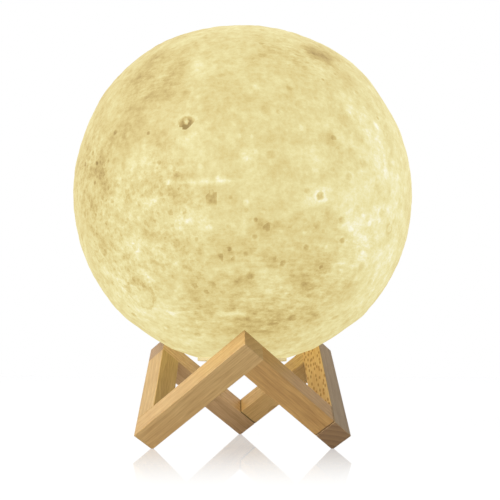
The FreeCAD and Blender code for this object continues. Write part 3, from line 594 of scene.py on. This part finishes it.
# %% Add rolling ground, and hold the relief down where things touch
ROLLING_MM, ROUGH_MM = 24.0, 4.5
TIP_BAND, RIM_BAND = 3.5 * MM, 2.5 * MM
IN_BANDS = 0.05 * MM               # how high the relief may be there
EASE = 0.15                        # and how fast it may grow beyond them
height = add(relief, "Math", (height, given["Mean ground"]), "ADD")
for grain_mm, amount in ((ROLLING_MM, "Rolling ground"), (ROUGH_MM, "Rough ground")):
    swell = add(relief, "TexNoise", {"Vector": here, "Scale": 1 / (grain_mm * MM), "Detail": 3.0})
    swell = add(relief, "Math", (swell, 4.0, -2.0), "MULTIPLY_ADD")
    height = add(relief, "Math", (swell, given[amount], height), "MULTIPLY_ADD")
level = add(relief, "SeparateXYZ", (here,)).outputs["Z"]
from_tips = add(relief, "Math", (level, given["Tip height"]), "SUBTRACT")
from_tips = add(relief, "Math", (from_tips,), "ABSOLUTE")
from_tips = add(relief, "Math", (from_tips, TIP_BAND), "SUBTRACT")
from_rim = add(relief, "Math", (level, shade_low.z + RIM_BAND), "SUBTRACT")
free = add(relief, "Math", (from_tips, from_rim), "MINIMUM")
free = add(relief, "Math", (free, 0.0), "MAXIMUM")
limit = add(relief, "Math", (free, EASE, IN_BANDS), "MULTIPLY_ADD")
height = add(relief, "Math", (height, limit), "MINIMUM")
height = add(relief, "Math", (height, is_outside), "MULTIPLY")
offset = add(relief, "VectorMath", {0: outward, "Scale": height}, "SCALE")

# %% [markdown]
# Ways and looks are stored before the points move, as attributes that the material reads
# later. The tree ends by making everything real geometry and giving it its finish.

# %% End the relief tree
result = given["Ball"]
for name, value in (("ground", ground_looks), ("spot_way", spot_way), ("spot_looks", spot_looks),
                    ("small_way", small_way), ("small_looks", small_looks)):
    result = add(relief, "GeometryNodeStoreNamedAttribute", {
        "Geometry": result, "Name": name, "Value": value}, data_type="FLOAT_VECTOR")
result = add(relief, "GeometryNodeSetPosition", {"Geometry": result, "Offset": offset})
result = add(relief, "GeometryNodeRealizeInstances", {"Geometry": result})
result = add(relief, "GeometryNodeSetMaterial", {"Geometry": result, "Material": given["Finish"]})
add(relief, "NodeGroupOutput", (result,))
print("relief tree", len(relief.nodes), "nodes")

# %% [markdown]
# ## The lit plastic of the ball
# The shade is PLA, a plastic printed from a thin thread. It is matt, milky and lit from
# inside, so it glows almost evenly, and its relief shows as warm light and dark more than as
# shadow. The material adds up the brightness of the ground, the rings of the nearest listed
# and scattered craters, fine pocks, streaks and mottling in object space, and turns the sum
# into pale yellows. The same colour feeds the glow and, darker, the surface itself.
# The light spot above a crater's middle is a painted highlight.

# %% Start the lit PLA
GLOW, SURFACE = 0.95, 0.06
lit_pla, nodes, shader = finish("lit_pla_printed_in_layers", Roughness=0.62, IOR=1.46,
                                Emission_Strength=GLOW, Specular_IOR_Level=0.25)
place = add(nodes, "TexCoord").outputs["Object"]
stored = {name: add(nodes, "Attribute", attribute_name=name).outputs["Vector"]
          for name in ("ground", "spot_way", "spot_looks", "small_way", "small_looks")}


def crater_tone(ratio, floor_tone, rim_tone):
    """The tone of a crater's floor and rim at a distance counted in radii."""
    inside, rise, fall = (
        add(nodes, "MapRange", (ratio, *steps), **SOFT)
        for steps in ((0.4, 1.15, 1.0, 0.0), (0.75, 1.05, 0.0, 1.0), (1.1, 1.8, 1.0, 0.0)))
    ring = add(nodes, "Math", (rise, fall), "MULTIPLY")
    inside = add(nodes, "Math", (inside, floor_tone), "MULTIPLY")
    return add(nodes, "Math", (ring, rim_tone, inside), "MULTIPLY_ADD")


# %% Read the stored craters
WOBBLE = 0.6                 # how far from round a crater's outline may be, in radii
WOBBLE_MM = 1.6              # the grain of that
HIGHLIGHT_OFFSET = (0.12, 0.0, -0.4)   # a lit middle lies off centre, towards the top
MOST_POCKED = 0.85
total, pocks, streaks = add(nodes, "SeparateXYZ", (stored["ground"],)).outputs
pocks = add(nodes, "Math", (pocks, MOST_POCKED), "MINIMUM")
uneven = add(nodes, "TexNoise", {
    "Vector": place, "Scale": 1 / (WOBBLE_MM * MM), "Detail": 2.0}).outputs["Color"]
uneven = add(nodes, "VectorMath", (uneven, (0.5, 0.5, 0.5)), "SUBTRACT")
for name in ("spot", "small"):
    floor_tone, rim_tone, highlight_tone = add(
        nodes, "SeparateXYZ", (stored[name + "_looks"],)).outputs
    way = add(nodes, "VectorMath", (uneven, (WOBBLE,) * 3, stored[name + "_way"]), "MULTIPLY_ADD")
    ratio = add(nodes, "VectorMath", (way,), "LENGTH").outputs["Value"]
    tone = crater_tone(ratio, floor_tone, rim_tone)
    total = add(nodes, "Math", (total, tone), "ADD")
    # Painted highlight: lighter a little above the middle, as where light falls on a peak.
    painted_highlight = add(nodes, "VectorMath", (way, HIGHLIGHT_OFFSET), "ADD")
    painted_highlight = add(nodes, "VectorMath", (painted_highlight,), "LENGTH").outputs["Value"]
    painted_highlight = add(nodes, "MapRange", (painted_highlight, 0.15, 0.4, 1.0, 0.0), **SOFT)
    total = add(nodes, "Math", (painted_highlight, highlight_tone, total), "MULTIPLY_ADD")

# %% Add fine pocks
POCK_MM = 2.7
POCK_TONES = (-1.2, 0.4)     # floor and rim
bent = add(nodes, "VectorMath", (uneven, (WOBBLE_MM * MM,) * 3, place), "MULTIPLY_ADD")
cells = add(nodes, "TexVoronoi", {"Vector": bent, "Scale": 1 / (POCK_MM * MM)}).outputs
chance = add(nodes, "SeparateColor", (cells["Color"],))
size = add(nodes, "Math", (chance, 0.3, 0.2), "MULTIPLY_ADD")
ratio = add(nodes, "Math", (cells["Distance"], size), "DIVIDE")
amount = add(nodes, "Math", (pocks, 0.08), "ADD")
total = add(nodes, "Math", (crater_tone(ratio, *POCK_TONES), amount, total), "MULTIPLY_ADD")

# %% Add streaks, clouds and mottling
STREAK_MM, CLOUD_MM, MOTTLE_MM = 4.8, 9.0, 3.4
STREAK_LENGTH = 3.6          # in streak heights
flat = add(nodes, "Mapping", {"Vector": place, "Scale": (1.0, 1.0, STREAK_LENGTH)})
streaked = add(nodes, "Math", (streaks, 5.5, 1.8), "MULTIPLY_ADD")
mottled = add(nodes, "Math", (pocks, 5.5, 8.4), "MULTIPLY_ADD")
for vector, grain_mm, detail, rough, amount in (
        (flat, STREAK_MM, 5.0, 0.7, streaked), (place, CLOUD_MM, 2.0, 0.5, 3.8),
        (place, MOTTLE_MM, 6.0, 0.78, mottled)):
    noise = add(nodes, "TexNoise", {
        "Vector": vector, "Scale": 1 / (grain_mm * MM), "Detail": detail, "Roughness": rough})
    noise = add(nodes, "Math", (noise, 0.5), "SUBTRACT")
    total = add(nodes, "Math", (noise, amount, total), "MULTIPLY_ADD")

# %% Turn the sum into colour, and add the printed layers
STEP, LEVEL = 0.106, 0.585   # one unit of tone, and a tone of zero, on the scale of the stops
LAYER_MM = 1.1               # real layers are 0.12 mm; drawn coarser, so that they show at all
MOON_TONES = [
    (0.0, "#A08850"), (0.10, "#B79D61"), (0.31, "#CFB978"), (0.46, "#DDCB8B"), (0.60, "#E5D89C"),
    (0.68, "#EBE0A5"), (0.79, "#F1E9B6"), (0.90, "#F8F3D0"), (1.0, "#FDFBE6"),
]
tone = add(nodes, "Math", (total, STEP, LEVEL), "MULTIPLY_ADD")
colour = add(nodes, "ValToRGB", {"Fac": tone}, stops=MOON_TONES)
surface = add(nodes, "Mix", {0: 1.0, 6: colour, 7: (SURFACE, SURFACE, SURFACE, 1.0)},
              data_type="RGBA", blend_type="MULTIPLY").outputs[2]
layers = add(nodes, "TexWave", {
    "Vector": place, "Scale": math.pi / (10 * LAYER_MM * MM), "Distortion": 0.4},
    bands_direction="Z").outputs["Fac"]
bump = add(nodes, "Bump", {"Height": layers, "Strength": 0.25, "Distance": 0.08 * MM})
feed(shader, {"Base Color": surface, "Emission Color": colour, "Normal": bump})

# %% [markdown]
# Now the modifier gets its sizes. The finished shape is read back as a plain mesh, the
# modifier and the points of both lists go, and the ball takes the place of the smooth shell.

# %% Press the relief into the ball
TIP_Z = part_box("front_left_rail")[1].z
modifier = ball.modifiers.new("moon_relief", "NODES")
modifier.node_group = relief
for name, value in {
        "Grounds": grounds, "Spots": spots, "Finish": lit_pla, "Ground count": GROUND_COUNT,
        "Crater spacing": 7.0 * MM, "Smallest crater": 0.7 * MM, "Largest crater": 2.2 * MM,
        "Mean ground": 0.6 * MM, "Rolling ground": 0.22 * MM, "Rough ground": 0.22 * MM,
        "Tip height": TIP_Z, "Seed": 11}.items():
    modifier[sockets[name].identifier] = value
ready = bpy.context.evaluated_depsgraph_get()
pressed = bpy.data.meshes.new_from_object(ball.evaluated_get(ready), depsgraph=ready)
ball.modifiers.remove(modifier)
ball.data = pressed
pressed.name = "moon_relief_shade"
for listed in (grounds, spots):
    bpy.data.objects.remove(listed)
pressed.polygons.foreach_set("use_smooth", [True] * len(pressed.polygons))
pressed.set_sharp_from_angle(angle=math.radians(50))
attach(ball, "globe")
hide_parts("moon_shade")
spread = [(Vector(v.co) - CENTRE).length / MM for v in pressed.vertices[:inner_first]]
print("relief from", round(min(spread), 2), "to", round(max(spread), 2), "mm from the centre,",
      "smooth ball", round(BALL_R / MM, 2))

# %% [markdown]
# ## Beech rails
# Beech is pale brown with a pink cast, very even, and marked by short dark flecks where its
# rays are cut across. The annual rings run along the rail as soft stripes and show as arcs on
# the end grain, which is darker, because it drinks the oil. Each rail is cut from its own
# bit of board, so each gets its own tint and its own place in the log. The right rail and the
# two back rails are also tinted lighter, as painted light where the ball shades them. The
# right rail is darker on the faces turned one way, as painted shade, and a thin dark line
# where a short rail meets a long one is a painted shadow in the joint. The pattern is set up
# along the grain: a Mapping node turns object space so that its X runs along that rail.

# %% The three directions of the stand
# The rails lie along the edges of a cube that stands on one corner.
SIX, THREE = math.sqrt(6), math.sqrt(3)
CUBE = {
    "x": Vector((1 / math.sqrt(2), -1 / SIX, 1 / THREE)),
    "y": Vector((-1 / math.sqrt(2), -1 / SIX, 1 / THREE)),
    "z": Vector((0, 2 / SIX, 1 / THREE)),
}

# %% Rings, fibres and flecks of a board
RING_MM = 2.4
FIBRE_MM = (9.0, 0.45)       # length and width of a bundle of fibres
FLECK_MM = (4.2, 1.4)        # spacing of the ray flecks along and across the grain
CLOUD_MM = 17.0
PITH_MM = (55.0, 24.75)      # from the rail to the middle of the trunk, across both ways


def board_grain(nodes, place, along, across):
    """A board's own millimetres with X along the grain, its rings, its fibres, and their sum."""
    turn = Matrix((along, across, along.cross(across))).to_euler()
    board = add(nodes, "Mapping", {"Vector": place, "Rotation": turn, "Scale": (1 / MM,) * 3})
    log = add(nodes, "VectorMath", (board, (0, *PITH_MM)), "ADD")
    rings = add(nodes, "TexWave", {
        "Vector": log, "Scale": math.pi / (10 * RING_MM), "Distortion": 3.0, "Detail": 2.0,
        "Detail Scale": 0.35}, wave_type="RINGS", rings_direction="X",
        wave_profile="SAW").outputs["Fac"]
    length, width = FIBRE_MM
    drawn_out = add(nodes, "VectorMath", (board, (1 / length, 1 / width, 1 / width)), "MULTIPLY")
    fibres = add(nodes, "TexNoise", {
        "Vector": drawn_out, "Scale": 1.0, "Detail": 3.0, "Roughness": 0.6})
    cloud = add(nodes, "TexNoise", {"Vector": board, "Scale": 1 / CLOUD_MM, "Detail": 2.0})
    mixed = add(nodes, "Math", (rings, 0.2), "MULTIPLY")
    for part, weight in ((fibres, 0.9), (cloud, 0.4)):
        mixed = add(nodes, "Math", (part, weight, mixed), "MULTIPLY_ADD")
    return board, rings, fibres, mixed


def ray_flecks(nodes, board, axis):
    """Short dashes along the grain, spaced over one of its two faces; one in five is missing."""
    parts = add(nodes, "SeparateXYZ", (board,)).outputs
    along, across = (add(nodes, "Math", (part, spacing), "DIVIDE")
                     for part, spacing in zip((parts[0], parts[axis]), FLECK_MM))
    cells = add(nodes, "CombineXYZ", (along, across))
    cells = add(nodes, "TexVoronoi", {"Vector": cells, "Scale": 1.0},
                voronoi_dimensions="2D").outputs
    dash = add(nodes, "MapRange", (cells["Distance"], 0.12, 0.42, 1.0, 0.0), **SOFT)
    chance = add(nodes, "SeparateColor", (cells["Color"],))
    chosen = add(nodes, "Math", (chance, 0.2), "GREATER_THAN")
    return add(nodes, "Math", (dash, chosen), "MULTIPLY")


# %% Make a beech material for one rail
# The seam tint and its share paint a shadow line in the joint where a short rail meets a long one.
FLECK_TINT, SEAM_SHADOW_TINT = "#B67C42", "#3B2614"
# The second pair of tints and its share paint shade on the faces of a rail turned one way.
END_TINTS, SHADED_SIDE_TINTS = ("#B0906A", "#806448"), ("#8E775A", "#6A563F")
SHADED_SIDE_SHARE, SEAM_SHADOW_SHARE = 0.8, 0.85


def beech(name, grain, side, light, dark, flecks, fleck_side, thirst=0.3, seam=None,
          shaded_side=None):
    """Oiled beech with its grain along one direction of the stand."""
    material, nodes, shader = finish(name, Roughness=0.48)
    coords = add(nodes, "TexCoord").outputs
    board, rings, fibres, mixed = board_grain(nodes, coords["Object"], CUBE[grain], CUBE[side])
    shade = add(nodes, "MapRange", (mixed, 0.48, 1.02))
    arcs = add(nodes, "Math", (mixed, 0.65), "MULTIPLY")
    arcs = add(nodes, "Math", (rings, 0.35, arcs), "MULTIPLY_ADD")
    wood, end_grain, shaded_wood = (
        add(nodes, "Mix", {0: share, 6: linear(pale), 7: linear(deep)},
            data_type="RGBA").outputs[2]
        for share, pale, deep in (
            (shade, light, dark), (arcs, *END_TINTS), (shade, *SHADED_SIDE_TINTS)))

    def on_faces(direction, *steps):
        """A share that eases in on the faces turned along a direction."""
        turned = add(nodes, "VectorMath", (coords["Normal"], direction),
                     "DOT_PRODUCT").outputs["Value"]
        turned = add(nodes, "Math", (turned,), "ABSOLUTE")
        return add(nodes, "MapRange", (turned, *steps), **SOFT)

    marked = add(nodes, "Math", (
        ray_flecks(nodes, board, 2 if side == fleck_side else 1),
        on_faces(CUBE[fleck_side], 0.3, 0.8, 0.12 * flecks, flecks)), "MULTIPLY")
    layers = [(marked, linear(FLECK_TINT)),
              (on_faces(CUBE[grain], 0.6, 0.85, 0.0, thirst), end_grain)]
    # Painted shade: the faces turned along the shaded side are darker.
    if shaded_side is not None:
        layers.append((on_faces(CUBE[shaded_side], 0.6, 0.85, 0.0, SHADED_SIDE_SHARE), shaded_wood))
    # Painted shadow: a thin dark line along the joint where a short rail meets a long one.
    if seam is not None:
        run = add(nodes, "VectorMath", (coords["Object"], CUBE[grain]),
                  "DOT_PRODUCT").outputs["Value"]
        run = add(nodes, "Math", (run, seam), "SUBTRACT")
        seam_shadow = add(nodes, "MapRange", (run, 0.3 * MM, 0.9 * MM, SEAM_SHADOW_SHARE, 0.0), **SOFT)
        layers.append((seam_shadow, linear(SEAM_SHADOW_TINT)))
    for share, tint in layers:
        wood = add(nodes, "Mix", {0: share, 6: wood, 7: tint}, data_type="RGBA").outputs[2]
    cover(shader, wood, fibres, (0.40, 0.58), 0.35, 0.06)
    return material


# %% Give every rail its own beech
short_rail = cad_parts["front_right_rail"].data.vertices
FOOT_SEAM = min(v.co.dot(CUBE["y"]) for v in short_rail)   # where it meets the long one's side
# The tints of the right rail and of the two back rails are lighter than their wood, as painted
# light where the ball's shadow falls on them.
RAILS = {   # grain, side away from the pith, light and dark, flecks and their side, thirst of
            # the end grain, where a painted seam shadow lies along the grain, and the side with
            # painted shade
    "front_left_rail": ("x", "z", "#D9B981", "#B7925E", 0.2, "y", 0.25),
    "front_right_rail": ("y", "z", "#D6AD6E", "#AC824D", 0.25, "x", 0.3, FOOT_SEAM),
    "right_rail": ("z", "y", "#FFDFA9", "#E6B97C", 0.8, "y", 1.0, None, "x"),
    "back_right_rail": ("x", "z", "#F2CF93", "#CCA46D", 0.3, "y", 0.3, FOOT_SEAM),
    "back_left_rail": ("y", "z", "#EACAA2", "#C29D76", 0.3, "x", 0.8),
    "left_rail": ("z", "x", "#D5B77F", "#AF8D5C", 0.15, "y", 0.3),
}
dressed = []


def dress(pieces, material):
    """Gives construction pieces one material in place of their plain ones."""
    for piece in pieces.split():
        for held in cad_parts[piece].material_slots:
            held.material = material
        dressed.append(piece)


for piece, facts in RAILS.items():
    dress(piece, beech(piece.replace("rail", "beech"), *facts))
dress("apex_dowels foot_pegs",
      beech("turned_beech_pin", "x", "y", "#CFA872", "#A67C4C", 0.3, "z"))
print("beech on", dressed)

# %% [markdown]
# ## The small parts
# The base module is mostly out of sight, yet each part is finished as what it is. Most of
# them share one way of being made: a colour that varies a little, a roughness that varies
# with it, and a fine bump at the real grain size of the mould, plating or foam.

# %% One recipe for moulded, plated and foamed surfaces
def grained(pieces, name, colour, other, grain_mm, bump_mm, rough, stretch=(1, 1, 1), swing=0.08,
            glow=None, **constants):
    """Dresses pieces in a finish whose colour, roughness and bump follow one fine grain."""
    material, nodes, shader = finish(name, Roughness=rough, **constants)
    place = add(nodes, "TexCoord").outputs["Object"]
    drawn = add(nodes, "Mapping", {"Vector": place, "Scale": stretch})
    grain = add(nodes, "TexNoise", {"Vector": drawn, "Scale": 1 / (grain_mm * MM), "Detail": 3.0})
    mixed = add(nodes, "Mix", {0: grain, 6: linear(colour), 7: linear(other)},
                data_type="RGBA").outputs[2]
    cover(shader, mixed, grain, (rough - swing, rough + swing), 0.5, bump_mm)
    if glow is not None:
        feed(shader, {"Emission Color": linear(glow[0]), "Emission Strength": glow[1]})
    dress(pieces, material)


# %% Plastics and foam
# Moulded plastic keeps the fine spark-eroded grain of its mould; foam shows its cut cells.
# The cap's glow is painted light, so that its flange, where it shows under the ball, reads as part
# of the lit ball.
grained("base_cap", "ivory_abs_moulded_painted_glow", "#EFE4C0", "#E6D9AF", 0.35, 0.012, 0.42,
        glow=("#EBDDA6", 0.3))
grained("base_cup mouth_ring", "white_abs_moulded", "#EDEBE4", "#E2DFD6", 0.35, 0.012, 0.42)
grained("port_tongue", "black_nylon_moulded", "#1B1B1C", "#262627", 0.2, 0.006, 0.5)
grained("battery_socket", "cream_nylon_socket", "#E6E0CC", "#DAD2BA", 0.3, 0.008, 0.45)
grained("battery_plug", "cream_nylon_plug", "#E9E4D4", "#DED7C2", 0.3, 0.008, 0.45)
grained("battery_pad", "closed_cell_foam_tape", "#2B2B2D", "#3C3C3F", 0.5, 0.08, 0.9)
grained("indicator_lens", "clear_acrylic_light_pipe", "#EEF3F2", "#E2EAEA", 1.5, 0.002, 0.12,
        Transmission_Weight=0.85, IOR=1.49)
grained("led_dome", "frosted_polycarbonate_dome", "#F4F1E6", "#ECE6D2", 0.25, 0.01, 0.6,
        glow=("#FFE9B8", 0.6), IOR=1.58)

# %% Insulation of the leads
# It is extruded, and so is smoother than moulded plastic.
for lead, hue, colour, other in (
        ("battery_lead_red", "red", "#B3201C", "#9E1714"),
        ("battery_lead_black", "black", "#1A1A1B", "#242425"),
        ("led_leads", "white", "#E8E6E0", "#DCD9D1"),
        ("touch_lead", "yellow", "#D9AE2B", "#C99E20")):
    grained(lead, hue + "_pvc_insulation", colour, other, 0.8, 0.004, 0.38)

# %% [markdown]
# Metal parts differ by how they were made. The touch ring is turned, so its fine lines run
# round it; they come from the distance to the lamp's axis. The stamped port is drawn along
# its depth, and zinc plating has a faint blue cloudiness. A pouch cell is wrapped in foil
# that creases a little.

# %% Metals
LATHE_MM = 0.5           # real turning marks are 0.05 mm; drawn coarser, so that they show
ring_metal, nodes, shader = finish("turned_chromed_brass", Metallic=1.0, Roughness=0.16)
place = add(nodes, "TexCoord").outputs["Object"]
marks_round = add(nodes, "TexWave", {
    "Vector": place, "Scale": math.pi / (10 * LATHE_MM * MM), "Distortion": 0.6, "Detail": 1.0},
    wave_type="RINGS", rings_direction="Z").outputs["Fac"]
metal = add(nodes, "Mix", {0: marks_round, 6: linear("#C9CACC"), 7: linear("#DADBDD")},
            data_type="RGBA").outputs[2]
cover(shader, metal, marks_round, (0.12, 0.24), 0.3, 0.01)
dress("touch_ring", ring_metal)
grained("base_screws board_screws led_board_screws", "zinc_plated_steel", "#B9BCC1", "#A6A9B0",
        0.6, 0.004, 0.34, swing=0.1, Metallic=1.0)
grained("port_shell", "stamped_plated_steel", "#B4B5B8", "#9FA0A4", 0.25, 0.004, 0.3,
        stretch=(1, 1, 0.1), Metallic=1.0)
grained("battery_cell", "laminated_cell_foil", "#C5C7CA", "#AFB2B6", 3.0, 0.12, 0.36, Metallic=1.0)

# %% [markdown]
# A circuit board is glass fibre under coloured solder mask. Copper tracks under the mask show
# as slightly raised, lighter lines that run square to each other. Two bands of stripes,
# broken up by a coarse chequer, give that look at the real track pitch.

# %% Circuit boards
TRACK_MM, BLOCK_MM = 1.4, 3.6


def circuit_board(pieces, name, mask, track):
    """Dresses pieces in solder mask over square-running copper tracks."""
    material, nodes, shader = finish(name, Roughness=0.3)
    place = add(nodes, "TexCoord").outputs["Object"]
    stripes = []
    for direction in ("X", "Y"):
        wave = add(nodes, "TexWave", {
            "Vector": place, "Scale": math.pi / (10 * TRACK_MM * MM)},
            bands_direction=direction).outputs["Fac"]
        stripes.append(add(nodes, "MapRange", (wave, 0.78, 0.86)))
    blocks = add(nodes, "TexChecker", {
        "Vector": place, "Scale": 1 / (BLOCK_MM * MM)}).outputs["Fac"]
    tracks = add(nodes, "Mix", {0: blocks, 2: stripes[0], 3: stripes[1]})
    mixed = add(nodes, "Mix", {0: tracks, 6: linear(mask), 7: linear(track)},
                data_type="RGBA").outputs[2]
    bump = add(nodes, "Bump", {"Height": tracks, "Strength": 0.5, "Distance": 0.03 * MM})
    feed(shader, {"Base Color": mixed, "Normal": bump})
    dress(pieces, material)


circuit_board("control_board cell_board", "green_solder_mask", "#155B33", "#237A47")
circuit_board("led_board", "white_solder_mask", "#ECEBE6", "#DEDCD4")

# %% What sits on the boards
grained("touch_controller charge_controller", "moulded_chip_epoxy", "#232326", "#2E2E31",
        0.12, 0.006, 0.55)
grained("board_parts", "fired_ceramic", "#9A7A5C", "#7F6247", 0.3, 0.006, 0.5)
grained("indicator_led", "clear_resin_package", "#F0EFE6", "#E2E0D2", 0.4, 0.003, 0.2,
        glow=("#FFB36B", 0.4))
grained("warm_leds", "warm_phosphor_gel", "#F2C04C", "#E6AE38", 0.15, 0.01, 0.35,
        glow=("#FFCB7A", 2.0))
grained("white_leds", "white_phosphor_gel", "#F1E27A", "#E6D566", 0.15, 0.01, 0.35,
        glow=("#FFF1CF", 2.0))
print("finishes on", len(dressed), "construction pieces")
